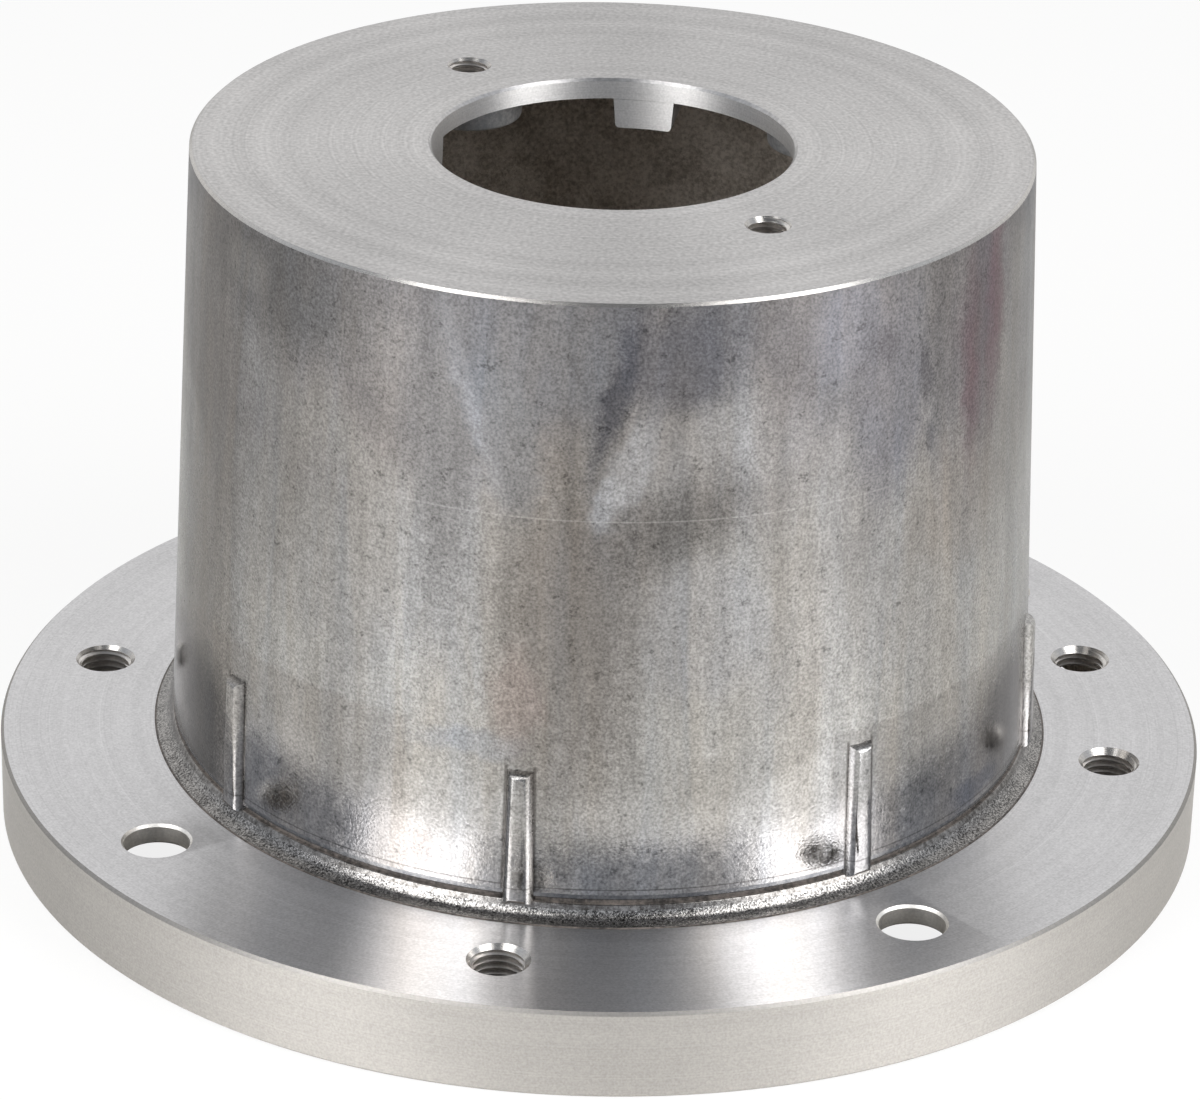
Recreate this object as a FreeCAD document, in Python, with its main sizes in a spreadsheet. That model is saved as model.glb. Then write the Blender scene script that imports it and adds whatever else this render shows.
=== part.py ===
import FreeCAD, Part
import os

import Sketcher

# The bell housing joins a hydraulic pump to an electric motor. It is one aluminium casting:
# a thin drafted bell, closed by a plate with the pump's bore, on a turned-down brim that is
# bolted to the motor. The origin is the middle of the motor face and +Z points to the pump.

# The driving sizes, in millimetres and degrees: the name, the value and what it measures.
SIZES = (
    ("total_height", 204, "motor face to pump face"),
    ("flange_dia", 350, "outer diameter of the brim"),
    ("flange_height", 26, "motor face to the turned face of the brim"),
    ("web_thickness", 6, "wall of the brim between the bell and the rim"),
    ("rim_thickness", 7, "wall of the turned-down rim"),
    ("flange_chamfer", 1, "both outer corners of the rim"),
    ("bell_top_dia", 236, "bell diameter at the pump face"),
    ("bell_draft", 2.3, "slope of the bell wall"),
    ("bell_wall", 6, "bell wall, measured level"),
    ("top_chamfer", 0.8, "outer corner of the pump face"),
    ("root_height", 6, "cast collar between the bell and the brim, up to the seam"),
    ("root_width", 6, "width of that collar on the brim"),
    ("collar_height", 2.6, "steep upper band of the collar"),
    ("collar_slope", 20, "lean of that band from upright"),
    ("seam_step", 0.5, "how far the bell stands proud of the collar"),
    ("plate_thickness", 6, "pump plate"),
    ("plate_bevel", 7, "inside corner between the plate and the bell wall"),
    ("brim_bevel", 3, "inside corner between the brim and its rim"),
    ("pump_bore_dia", 101.6, "centring bore for the pump"),
    ("bore_chamfer", 0.8, "mouth of the centring bore"),
    ("bore_relief", 0.2, "how far the cross pads stand back from that bore"),
    ("pump_screw_spacing", 146, "between the two pump screws"),
    ("pump_tap_dia", 10.2, "core of the M12 thread"),
    ("pump_mouth_dia", 12.8, "countersunk mouth of the M12 thread"),
    ("boss_dia", 32, "boss at each pump screw"),
    ("pad_width", 18, "cross pads under the pump plate"),
    ("pad_depth", 9, "how far pads and bosses stand below the plate"),
    ("pad_draft", 4, "slope of the sides of pads and bosses"),
    ("bolt_circle", 300, "pitch circle of all the brim's holes"),
    ("motor_tap_dia", 14, "core of the M16 thread"),
    ("motor_mouth_dia", 17.6, "countersunk mouth of the M16 thread"),
    ("clearance_dia", 18.5, "plain holes for M16 screws"),
    ("clearance_mouth_dia", 20, "broken edges of the plain holes"),
    ("spare_angle", 25.5, "spare tapped hole, from the line of the first motor screw"),
    ("land_width", 44, "blocks under the brim that carry the motor threads"),
    ("land_draft", 2, "slope of the sides of those blocks"),
    ("land_radius", 8, "upright inner corners of those blocks"),
    ("land_ledge", 4, "how far those blocks reach inside the centring recess"),
    ("recess_dia", 250, "centring recess for the motor"),
    ("recess_depth", 6, "depth of that recess"),
    ("recess_lead", 1, "bevel at the mouth of that recess"),
    ("rib_reach", 254.6, "diameter over the small ribs at the foot of the bell"),
    ("rib_height", 38, "height of the ribs above the seam"),
    ("rib_foot_width", 8.8, "rib width at the seam"),
    ("rib_head_width", 6, "rib width at its head"),
    ("rib_edge", 1.6, "bevelled long edges of a rib"),
    ("rib_bevel", 0.8, "bevel round the head of a rib"),
)

MOTOR_SCREWS = 4
PUMP_BOSSES = 4
PUMP_SCREWS = 2
RIBS = 8
FULL_TURN = 360
BETWEEN_SCREWS = FULL_TURN / MOTOR_SCREWS / 2
COUNTERSINK_ANGLE = 90

# A quarter round rises this share of its chord above the chord. Every round starts as one.
QUARTER_ROUND_RISE = (2**0.5 - 1) / 2
TOUCHING = 1e-4

# Places that several features share, each worked out from the driving sizes.
SLOPE = "tan(sizes.bell_draft)"
SEAM = "(sizes.flange_height + sizes.root_height)"
UNDER_PLATE = "(sizes.total_height - sizes.plate_thickness)"
UNDER_PADS = f"({UNDER_PLATE} - sizes.pad_depth)"
UNDER_WEB = "(sizes.flange_height - sizes.web_thickness)"
BELL_FOOT = f"(sizes.bell_top_dia / 2 + (sizes.total_height - {SEAM}) * {SLOPE})"
COLLAR_TOP = f"({BELL_FOOT} - sizes.seam_step)"
INSIDE_TOP = f"(sizes.bell_top_dia / 2 + sizes.plate_thickness * {SLOPE} - sizes.bell_wall)"
INSIDE_FOOT = f"(sizes.bell_top_dia / 2 + (sizes.total_height - {UNDER_WEB}) * {SLOPE} - sizes.bell_wall)"
RIM_INSIDE = "(sizes.flange_dia / 2 - sizes.rim_thickness)"


def fill_sheet(doc):
    """Put every driving size in a cell of its own, under its own name."""
    sheet = doc.addObject("Spreadsheet::Sheet", "sizes")
    for row, (alias, value, meaning) in enumerate(SIZES, start=1):
        sheet.set(f"A{row}", meaning)
        sheet.set(f"B{row}", str(value))
        sheet.setAlias(f"B{row}", alias)
    doc.recompute()


def origin_part(body, role):
    """Find one of the body's own base planes or axes."""
    return next(part for part in body.Origin.OriginFeatures if part.Role == role)


def new_sketch(body, name, role, height=None):
    """Start a sketch on a base plane of the body, lifted to a height where one is given."""
    sketch = body.newObject("Sketcher::SketchObject", name)
    sketch.AttachmentSupport = [(origin_part(body, role), "")]
    sketch.MapMode = "FlatFace"
    if height:
        sketch.setExpression(".AttachmentOffset.Base.z", height)
    return sketch


def hold(sketch, constraint, label, value):
    """Add a constraint and bind its size to an expression."""
    index = sketch.addConstraint(constraint)
    sketch.renameConstraint(index, label)
    sketch.setExpression(f"Constraints.{label}", value)


def place(sketch, geometry, vertex, label, x, y):
    """Hold one point of a sketch at x and y. None for either keeps it on the sketch's axis."""
    if x is None:
        sketch.addConstraint(Sketcher.Constraint("PointOnObject", geometry, vertex, -2))
    else:
        hold(sketch, Sketcher.Constraint("DistanceX", -1, 1, geometry, vertex, 1), f"{label}_x", x)
    if y is None:
        sketch.addConstraint(Sketcher.Constraint("PointOnObject", geometry, vertex, -1))
    else:
        hold(sketch, Sketcher.Constraint("DistanceY", -1, 1, geometry, vertex, 1), f"{label}_y", y)


def draw_corners(doc, sketch, corners):
    """Set out the named corners of an outline as construction points and return their places."""
    for label, x, y in corners:
        point = sketch.addGeometry(Part.Point(FreeCAD.Vector(1, 1, 0)), True)
        place(sketch, point, 1, label, x, y)
    doc.recompute()
    drawn = sketch.Geometry[: len(corners)]
    return [FreeCAD.Vector(point.X, point.Y, 0) for point in drawn]


def draw_outline(doc, sketch, corners, rounds=None):
    """Join the corners in a ring. rounds gives the radius of the arc that starts at a corner.
    Each one bulges to the right of the way that the ring runs."""
    rounds = rounds or {}
    points = draw_corners(doc, sketch, corners)
    for start, (label, _, _) in enumerate(corners):
        end = (start + 1) % len(corners)
        if label in rounds:
            chord = points[end] - points[start]
            rise = FreeCAD.Vector(chord.y, -chord.x, 0) * QUARTER_ROUND_RISE
            middle = (points[start] + points[end]) * 0.5 + rise
            edge = sketch.addGeometry(Part.Arc(points[start], middle, points[end]))
            radius = sketch.Geometry[edge].Radius
            hold(sketch, Sketcher.Constraint("Radius", edge, radius), f"{label}_round", rounds[label])
        else:
            edge = sketch.addGeometry(Part.LineSegment(points[start], points[end]))
        runs_on = sketch.getPoint(edge, 1).isEqual(points[start], TOUCHING)
        first, last = (1, 2) if runs_on else (2, 1)
        sketch.addConstraint(Sketcher.Constraint("Coincident", edge, first, start, 1))
        sketch.addConstraint(Sketcher.Constraint("Coincident", edge, last, end, 1))
    doc.recompute()


def draw_circle(doc, sketch, label, x, y, diameter):
    """Draw a circle whose middle and diameter are held."""
    circle = sketch.addGeometry(Part.Circle(FreeCAD.Vector(1, 1, 0), FreeCAD.Vector(0, 0, 1), 1))
    place(sketch, circle, 3, label, x, y)
    hold(sketch, Sketcher.Constraint("Diameter", circle, 2), f"{label}_size", diameter)
    doc.recompute()


def add_feature(doc, body, kind, name, sketch, **settings):
    """Add a feature that uses a sketch. A setting under bound is held by an expression."""
    bound = settings.pop("bound", {})
    feature = body.newObject(f"PartDesign::{kind}", name)
    feature.Profile = (sketch, [""])
    for key, value in settings.items():
        setattr(feature, key, value)
    for key, expression in bound.items():
        feature.setExpression(key, expression)
    doc.recompute()
    return feature


def repeat_round(doc, body, feature, count):
    """Repeat a feature evenly round the upright axis."""
    pattern = body.newObject("PartDesign::PolarPattern", f"{feature.Name}_pattern")
    pattern.Originals = [feature]
    pattern.Axis = (origin_part(body, "Z_Axis"), [""])
    pattern.Angle = FULL_TURN
    pattern.Occurrences = count
    body.Tip = pattern
    doc.recompute()


def add_bell(doc, body):
    """Turn the section of the casting round its axis."""
    sketch = new_sketch(body, "bell_section", "XZ_Plane")
    corners = (
        ("plate_middle", None, "sizes.total_height"),
        ("pump_face_edge", "sizes.bell_top_dia / 2 - sizes.top_chamfer", "sizes.total_height"),
        ("bell_top", "sizes.bell_top_dia / 2", "sizes.total_height - sizes.top_chamfer"),
        ("bell_foot", BELL_FOOT, SEAM),
        ("collar_top", COLLAR_TOP, SEAM),
        ("collar_foot", f"{COLLAR_TOP} + sizes.collar_height * tan(sizes.collar_slope)",
         f"{SEAM} - sizes.collar_height"),
        ("root_foot", f"{COLLAR_TOP} + sizes.root_width", "sizes.flange_height"),
        ("brim_edge", "sizes.flange_dia / 2 - sizes.flange_chamfer", "sizes.flange_height"),
        ("rim_top", "sizes.flange_dia / 2", "sizes.flange_height - sizes.flange_chamfer"),
        ("rim_foot", "sizes.flange_dia / 2", "sizes.flange_chamfer"),
        ("motor_face_edge", "sizes.flange_dia / 2 - sizes.flange_chamfer", None),
        ("rim_inside_foot", RIM_INSIDE, None),
        ("rim_inside_top", RIM_INSIDE, UNDER_WEB),
        ("inside_foot", INSIDE_FOOT, UNDER_WEB),
        ("inside_top", INSIDE_TOP, UNDER_PLATE),
        ("plate_under", None, UNDER_PLATE),
    )
    draw_outline(doc, sketch, corners)
    bell = add_feature(doc, body, "Revolution", "bell", sketch, Angle=FULL_TURN)
    bell.ReferenceAxis = (sketch, ["V_Axis"])
    doc.recompute()
    drawn = dict(zip([label for label, _, _ in corners], sketch.Geometry))
    bevel_edge(doc, body, "plate_corner", "sizes.plate_bevel", drawn["inside_top"])
    bevel_edge(doc, body, "brim_corner", "sizes.brim_bevel", drawn["rim_inside_top"])


def bevel_edge(doc, body, name, size, corner):
    """Bevel the round edge that this corner of the section made."""
    base = body.Tip
    for number, edge in enumerate(base.Shape.Edges, start=1):
        is_round = isinstance(edge.Curve, Part.Circle)
        if is_round and meets(edge.Curve.Radius, corner.X) and meets(edge.Curve.Center.z, corner.Y):
            bevelled = f"Edge{number}"
    bevel = body.newObject("PartDesign::Chamfer", name)
    bevel.Base = (base, [bevelled])
    bevel.setExpression("Size", size)
    doc.recompute()


def meets(first, second):
    """Whether two lengths are the same, apart from rounding."""
    return abs(first - second) < TOUCHING


def add_pump_pads(doc, body):
    """Stand four cross pads and four screw bosses under the pump plate."""
    start = "sizes.pump_bore_dia / 2 - sizes.pad_depth"
    end = f"{INSIDE_TOP} + sizes.bell_wall / 2"
    half = "sizes.pad_width / 2"
    sketch = new_sketch(body, "cross_pad_outline", "XY_Plane", UNDER_PLATE)
    corners = (
        ("inner_right", start, f"-{half}"),
        ("outer_right", end, f"-{half}"),
        ("outer_left", end, half),
        ("inner_left", start, half),
    )
    draw_outline(doc, sketch, corners)
    shape = {"Length": "sizes.pad_depth", "TaperAngle": "-sizes.pad_draft"}
    pad = add_feature(doc, body, "Pad", "cross_pad", sketch, Reversed=True, bound=shape)
    repeat_round(doc, body, pad, PUMP_BOSSES)

    across = f"sizes.pump_screw_spacing / 2 * cos({BETWEEN_SCREWS})"
    up = f"sizes.pump_screw_spacing / 2 * sin({BETWEEN_SCREWS})"
    sketch = new_sketch(body, "boss_outline", "XY_Plane", UNDER_PLATE)
    draw_circle(doc, sketch, "boss", across, up, "sizes.boss_dia")
    boss = add_feature(doc, body, "Pad", "screw_boss", sketch, Reversed=True, bound=shape)
    repeat_round(doc, body, boss, PUMP_BOSSES)


def add_lands(doc, body):
    """Fill the hollow under the brim with four blocks that carry the motor's screws."""
    start = "sizes.recess_dia / 2 - sizes.land_ledge"
    end = f"{RIM_INSIDE} + sizes.rim_thickness / 2"
    half = "sizes.land_width / 2"
    sketch = new_sketch(body, "land_outline", "XY_Plane", UNDER_WEB)
    corners = (
        ("outer_right", end, f"-{half}"),
        ("outer_left", end, half),
        ("inner_left", f"{start} + sizes.land_radius", half),
        ("nose_left", start, f"{half} - sizes.land_radius"),
        ("nose_right", start, f"sizes.land_radius - {half}"),
        ("inner_right", f"{start} + sizes.land_radius", f"-{half}"),
    )
    rounds = {"inner_left": "sizes.land_radius", "nose_right": "sizes.land_radius"}
    draw_outline(doc, sketch, corners, rounds)
    shape = {"Length": UNDER_WEB, "TaperAngle": "-sizes.land_draft"}
    land = add_feature(doc, body, "Pad", "land", sketch, Reversed=True, bound=shape)
    repeat_round(doc, body, land, MOTOR_SCREWS)


def add_ribs(doc, body):
    """Stand eight small ribs on the foot of the bell, narrower and bevelled at the head."""
    inner = f"{BELL_FOOT} - sizes.rib_height * {SLOPE} - sizes.bell_wall / 2"
    head = f"{SEAM} + sizes.rib_height"
    levels = (
        ("rib_foot", SEAM, "sizes.rib_foot_width / 2", "0"),
        ("rib_neck", f"{head} - sizes.rib_bevel", "sizes.rib_head_width / 2", "0"),
        ("rib_head", head, "sizes.rib_head_width / 2 - sizes.rib_bevel", "sizes.rib_bevel"),
    )
    sketches = []
    for name, height, half, drawn_in in levels:
        face = f"(sizes.rib_reach / 2 - {drawn_in})"
        edge = f"(sizes.rib_edge - {drawn_in})"
        sketch = new_sketch(body, name, "XY_Plane", height)
        corners = (
            ("wall_right", inner, f"-({half})"),
            ("side_right", f"{face} - {edge}", f"-({half})"),
            ("face_right", face, f"{edge} - ({half})"),
            ("face_left", face, f"{half} - {edge}"),
            ("side_left", f"{face} - {edge}", half),
            ("wall_left", inner, half),
        )
        draw_outline(doc, sketch, corners)
        sketches.append(sketch)
    rib = add_feature(doc, body, "AdditiveLoft", "rib", sketches[0], Ruled=True, Sections=sketches[1:])
    repeat_round(doc, body, rib, RIBS)


def turn_out(doc, body, name, corners):
    """Turn a hollow out of the casting, round its axis."""
    sketch = new_sketch(body, f"{name}_section", "XZ_Plane")
    draw_outline(doc, sketch, corners)
    groove = add_feature(doc, body, "Groove", name, sketch, Angle=FULL_TURN)
    groove.ReferenceAxis = (sketch, ["V_Axis"])
    doc.recompute()


def bore_centres(doc, body):
    """Turn the pump's centring bore and the motor's centring recess."""
    bore = "sizes.pump_bore_dia / 2"
    pump_corners = (
        ("top_middle", None, "sizes.total_height"),
        ("mouth", f"{bore} + sizes.bore_chamfer", "sizes.total_height"),
        ("wall_top", bore, "sizes.total_height - sizes.bore_chamfer"),
        ("wall_foot", bore, UNDER_PLATE),
        ("relief_top", f"{bore} + sizes.bore_relief", UNDER_PLATE),
        ("relief_foot", f"{bore} + sizes.bore_relief", UNDER_PADS),
        ("foot_middle", None, UNDER_PADS),
    )
    turn_out(doc, body, "pump_bore", pump_corners)
    recess = "sizes.recess_dia / 2"
    motor_corners = (
        ("foot_middle", None, None),
        ("mouth", f"{recess} + sizes.recess_lead", None),
        ("wall_foot", recess, "sizes.recess_lead"),
        ("wall_top", recess, "sizes.recess_depth"),
        ("top_middle", None, "sizes.recess_depth"),
    )
    turn_out(doc, body, "motor_recess", motor_corners)


def drill(doc, body, name, height, radius, angle, diameter, mouth, count, from_below=False):
    """Drill and countersink a ring of holes, down from a height or up from the motor face."""
    sketch = new_sketch(body, f"{name}_middle", "XY_Plane", height)
    draw_circle(doc, sketch, "hole", f"{radius} * cos({angle})", f"{radius} * sin({angle})", diameter)
    hole = add_feature(doc, body, "Hole", name, sketch)
    hole.Threaded = False
    hole.Reversed = from_below
    hole.DepthType = "ThroughAll"
    hole.HoleCutType = "Countersink"
    hole.HoleCutCountersinkAngle = COUNTERSINK_ANGLE
    hole.setExpression("Diameter", diameter)
    hole.setExpression("HoleCutDiameter", mouth)
    doc.recompute()
    if count > 1:
        repeat_round(doc, body, hole, count)


def build():
    doc = FreeCAD.newDocument("bell_housing")
    fill_sheet(doc)
    body = doc.addObject("PartDesign::Body", "bell_housing")
    body.Label = "bell_housing"
    doc.recompute()

    add_bell(doc, body)
    add_pump_pads(doc, body)
    add_lands(doc, body)
    add_ribs(doc, body)
    bore_centres(doc, body)

    top = "sizes.total_height"
    brim = "sizes.flange_height"
    ring = "sizes.bolt_circle / 2"
    pump_ring = "sizes.pump_screw_spacing / 2"
    tap = "sizes.motor_tap_dia"
    mouth = "sizes.motor_mouth_dia"
    drill(doc, body, "pump_screw", top, pump_ring, -BETWEEN_SCREWS, "sizes.pump_tap_dia",
          "sizes.pump_mouth_dia", PUMP_SCREWS)
    drill(doc, body, "motor_screw", brim, ring, 0, tap, mouth, MOTOR_SCREWS)
    drill(doc, body, "motor_screw_foot", None, ring, 0, tap, mouth, MOTOR_SCREWS, from_below=True)
    drill(doc, body, "clearance_hole", brim, ring, BETWEEN_SCREWS, "sizes.clearance_dia",
          "sizes.clearance_mouth_dia", MOTOR_SCREWS)
    drill(doc, body, "spare_hole", brim, ring, "sizes.spare_angle", tap, mouth, 1)
    return doc, body


def check(doc, body):
    """Stop if any feature failed or the casting isn't one sound solid."""
    for item in doc.Objects:
        if "Invalid" in item.State or "Error" in item.State:
            raise RuntimeError(f"{item.Name}: {item.State}")
    if not body.Shape.isValid() or len(body.Shape.Solids) != 1:
        raise RuntimeError("the casting isn't one sound solid")


document, casting = build()
check(document, casting)
os.makedirs("parts", exist_ok=True)
casting.Shape.exportStep(f"parts/{casting.Label}.step")
print(f"{casting.Label}: {casting.Shape.Volume / 1000:.1f} cubic centimetres")
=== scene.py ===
# %% [markdown]
# # A pump bell housing
# This lesson rebuilds one aluminium casting in Blender: the bell that joins a hydraulic pump
# (on top) to an electric motor (below). It is made in the order of the real one. First the
# rough casting is shaped, then its faces are turned, and last its holes are drilled and tapped.
#
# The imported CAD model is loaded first. It fixes the frame: metres, the origin in the middle of
# the motor face, +Z towards the pump. Its box is kept, because the finished piece must fit it.

# %% The frame
import math

import bpy
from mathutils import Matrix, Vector


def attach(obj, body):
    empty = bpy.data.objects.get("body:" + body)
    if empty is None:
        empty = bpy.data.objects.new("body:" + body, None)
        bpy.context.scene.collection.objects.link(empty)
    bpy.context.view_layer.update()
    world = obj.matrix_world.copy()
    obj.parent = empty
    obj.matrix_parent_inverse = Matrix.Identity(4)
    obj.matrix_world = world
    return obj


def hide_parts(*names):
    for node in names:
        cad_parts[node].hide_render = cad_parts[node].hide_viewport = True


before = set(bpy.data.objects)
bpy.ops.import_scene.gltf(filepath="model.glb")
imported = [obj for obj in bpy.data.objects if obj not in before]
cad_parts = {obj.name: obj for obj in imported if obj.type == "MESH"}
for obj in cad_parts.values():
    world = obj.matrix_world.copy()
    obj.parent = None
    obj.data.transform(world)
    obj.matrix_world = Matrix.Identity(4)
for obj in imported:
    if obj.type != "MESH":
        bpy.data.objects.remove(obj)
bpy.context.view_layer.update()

# %% [markdown]
# ## Sizes
# All sizes are written in millimetres, as on a drawing, and turned to metres where they are
# used. The bell is drafted: its wall leans inwards by 2.3 degrees, so that the pattern could be
# drawn out of the sand. `wall_radius` gives the outside of that wall at any height.

# %% Sizes from the drawing
MM = 0.001
HEIGHT = 204.0
BRIM_RADIUS = 175.0
BRIM_FACE = 26.0
SEAM = 32.0
BELL_TOP = 118.0
LEAN = math.tan(math.radians(2.3))


def wall_radius(height):
    """Outside radius of the bell's wall at a height."""
    return BELL_TOP + (HEIGHT - height) * LEAN


print("bell radius at the seam:", round(wall_radius(SEAM), 2), "mm")

# %% [markdown]
# ## Small helpers
# An operator works on everything that is selected, and the loaded CAD node still is. So each
# step first lets go of everything. `pick` then selects one object and opens it for editing with
# exactly the edges whose two ends pass a test on their place.

# %% Helpers for selecting and editing
def choose(obj):
    """Select this object alone, in object mode."""
    if bpy.context.object and bpy.context.object.mode != "OBJECT":
        bpy.ops.object.mode_set(mode="OBJECT")
    bpy.ops.object.select_all(action="DESELECT")
    obj.select_set(True)
    bpy.context.view_layer.objects.active = obj


def pick(obj, test):
    """Open an object for editing with only those edges selected whose ends both pass."""
    choose(obj)
    bpy.context.tool_settings.mesh_select_mode = (False, True, False)
    mesh = obj.data
    passed = [test(vertex.co / MM) for vertex in mesh.vertices]
    for polygon in mesh.polygons:
        polygon.select = False
    for vertex in mesh.vertices:
        vertex.select = False
    for edge in mesh.edges:
        edge.select = passed[edge.vertices[0]] and passed[edge.vertices[1]]
    bpy.ops.object.mode_set(mode="EDIT")


def close(obj):
    """Merge doubled points, point all faces outwards and leave edit mode."""
    bpy.ops.mesh.select_all(action="SELECT")
    bpy.ops.mesh.remove_doubles(threshold=0.002 * MM)
    bpy.ops.mesh.normals_make_consistent(inside=False)
    bpy.ops.object.mode_set(mode="OBJECT")
    print(obj.name, "has", len(obj.data.polygons), "faces")


# %% [markdown]
# ## Turning a section
# Nearly all of this housing is round, so its main tool is a lathe: a chain of edges, the
# section, is drawn by extruding one point from corner to corner, and `spin` carries it once
# round the upright axis. A cylinder primitive with insets would also do, but a section can be
# read off the drawing corner by corner.

# %% The lathe
def start_section(name, corners):
    """Draw a chain of edges through corners given as (radius, height) in millimetres."""
    bpy.ops.object.select_all(action="DESELECT")
    bpy.ops.mesh.primitive_plane_add(size=MM)
    obj = bpy.context.object
    obj.name = name
    bpy.ops.object.mode_set(mode="EDIT")
    bpy.context.tool_settings.mesh_select_mode = (True, False, False)
    bpy.ops.mesh.select_all(action="SELECT")
    bpy.ops.mesh.merge(type="CENTER")
    radius, height = corners[0]
    bpy.ops.transform.translate(value=(radius * MM, 0, height * MM))
    for next_radius, next_height in corners[1:]:
        step = ((next_radius - radius) * MM, 0, (next_height - height) * MM)
        bpy.ops.mesh.extrude_region_move(TRANSFORM_OT_translate={"value": step})
        radius, height = next_radius, next_height
    return obj


STEPS = 240


def turn(name, corners, steps=STEPS):
    """Spin a section once round the upright axis."""
    obj = start_section(name, corners)
    bpy.ops.mesh.select_all(action="SELECT")
    bpy.ops.mesh.spin(steps=steps, angle=math.tau, center=(0, 0, 0), axis=(0, 0, 1))
    close(obj)
    return obj


def round_ring(obj, radius, height, size, segments=3):
    """Round the ring of edges at this radius and height."""
    def on_ring(point):
        return abs(math.hypot(point.x, point.y) - radius) < 0.02 and abs(point.z - height) < 0.02

    pick(obj, on_ring)
    bpy.ops.mesh.bevel(offset=size * MM, segments=segments, affect="EDGES", clamp_overlap=False)
    bpy.ops.object.mode_set(mode="OBJECT")


# %% [markdown]
# ## The rough casting
# The section runs from the cored hole in the pump plate outwards, down the bell to its seam,
# over a narrow groove and the hollow collar to the brim, round the turned-down rim and back up
# the hollow inside. The cored hole is smaller than the finished bore, because metal is left on
# for turning. Extra rings on the tall wall keep its faces short, which cuts cleaner later.

# %% Turn the bell, its brim and its rim
WALL = 6.0
PLATE_UNDERSIDE = HEIGHT - WALL
BRIM_UNDERSIDE = BRIM_FACE - WALL
RIM_INSIDE = 168.0
RIM_BEVEL = 3.0
CORED_HOLE = 40.0
INNER_CORNER = 7.0
TOP_CHAMFER = 0.8
BRIM_CHAMFER = 0.9
FOOT = 33.4
wall_inside_top = wall_radius(PLATE_UNDERSIDE) - WALL
wall_inside_foot = wall_radius(BRIM_UNDERSIDE) - WALL
corner_height = PLATE_UNDERSIDE - INNER_CORNER
OUTER_RINGS = (178, 152, 126, 100, 75, 60, 45, 34.5)
INNER_RINGS = (50, 80, 110, 140, 170)
lip = wall_radius(SEAM)
lip_top, lip_foot = FOOT - 0.1, SEAM - 0.1
groove_top, groove_foot = 31.7, 30.7
hollow_top = 30.4
section = [(CORED_HOLE, HEIGHT), (BELL_TOP - TOP_CHAMFER, HEIGHT)]
section += [(BELL_TOP, HEIGHT - TOP_CHAMFER)]
section += [(wall_radius(height), height) for height in OUTER_RINGS]
section += [(wall_radius(FOOT), FOOT), (lip - 0.2, lip_top), (lip - 0.2, lip_foot)]
section += [(lip - 0.9, groove_top), (lip - 0.9, groove_foot)]
section += [(lip + 0.1, hollow_top), (lip + 0.75, 29.1), (lip + 1.45, 27.9), (lip + 2.6, 27)]
section += [(lip + 4, 26.45), (lip + 4.9, 26.2), (lip + 5.5, BRIM_FACE)]
section += [(BRIM_RADIUS - BRIM_CHAMFER, BRIM_FACE)]
section += [(BRIM_RADIUS, BRIM_FACE - BRIM_CHAMFER), (BRIM_RADIUS, 1), (BRIM_RADIUS - 1, 0)]
section += [(RIM_INSIDE, 0), (RIM_INSIDE, BRIM_UNDERSIDE - RIM_BEVEL)]
section += [(RIM_INSIDE - RIM_BEVEL, BRIM_UNDERSIDE), (wall_inside_foot, BRIM_UNDERSIDE)]
for height in INNER_RINGS:
    section += [(wall_inside_top + (corner_height - height) * LEAN, height)]
section += [(wall_inside_top, corner_height), (wall_inside_top - INNER_CORNER, PLATE_UNDERSIDE)]
section += [(CORED_HOLE, PLATE_UNDERSIDE), (CORED_HOLE, HEIGHT)]
housing = turn("housing", section)

# %% [markdown]
# Molten metal never fills a sharp corner, so the corners inside are rounded. The two edges of
# the groove at the seam keep tight rounds, which draw thin bright lines there.

# %% Round the cast corners
round_ring(housing, wall_inside_top, corner_height, 4.5, 4)
round_ring(housing, wall_inside_top - INNER_CORNER, PLATE_UNDERSIDE, 4.5, 4)
round_ring(housing, wall_inside_foot, BRIM_UNDERSIDE, 1.5, 3)
round_ring(housing, RIM_INSIDE - RIM_BEVEL, BRIM_UNDERSIDE, 2, 3)
round_ring(housing, lip - 0.2, lip_foot, 0.25, 3)
round_ring(housing, lip + 0.1, hollow_top, 0.25, 3)
print("rough casting:", len(housing.data.polygons), "faces")

# %% [markdown]
# ## Pads, bosses and blocks
# Under the pump plate stand four cross pads and four screw bosses, and under the brim four
# blocks for the motor's screws. Each kind is made once: a primitive at its real size and place,
# its far end narrowed by the draft. Then its mesh is copied round the axis in edit mode, where
# `duplicate` leaves only the new copy selected for the turn.

# %% Helpers for drafted blocks and rings of copies
def narrow_end(obj, height, width_change, length_change, centre):
    """Scale the points at one height of a piece about a centre, in millimetres."""
    pick(obj, lambda point: abs(point.z - height) < 0.01)
    bpy.ops.transform.resize(value=(length_change, width_change, 1), center_override=centre)
    bpy.ops.object.mode_set(mode="OBJECT")


def swing(degrees):
    """Turn what is selected about the upright axis. Blender counts this angle clockwise here."""
    bpy.ops.transform.rotate(
        value=math.radians(-degrees), orient_axis="Z", center_override=(0, 0, 0))


def repeat_round(obj, count):
    """Copy a piece's whole mesh evenly round the upright axis."""
    pick(obj, lambda point: True)
    bpy.ops.mesh.select_all(action="SELECT")
    for _ in range(count - 1):
        bpy.ops.mesh.duplicate()
        swing(360 / count)
    close(obj)


def block(name, low, high):
    """Add a cube primitive that fills the box between two corners in millimetres."""
    bpy.ops.object.select_all(action="DESELECT")
    middle = [(a + b) / 2 * MM for a, b in zip(low, high)]
    size = [(b - a) * MM for a, b in zip(low, high)]
    bpy.ops.mesh.primitive_cube_add(size=1, location=middle, scale=size)
    obj = bpy.context.object
    obj.name = name
    bpy.ops.object.transform_apply(location=True, rotation=True, scale=True)
    return obj


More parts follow.
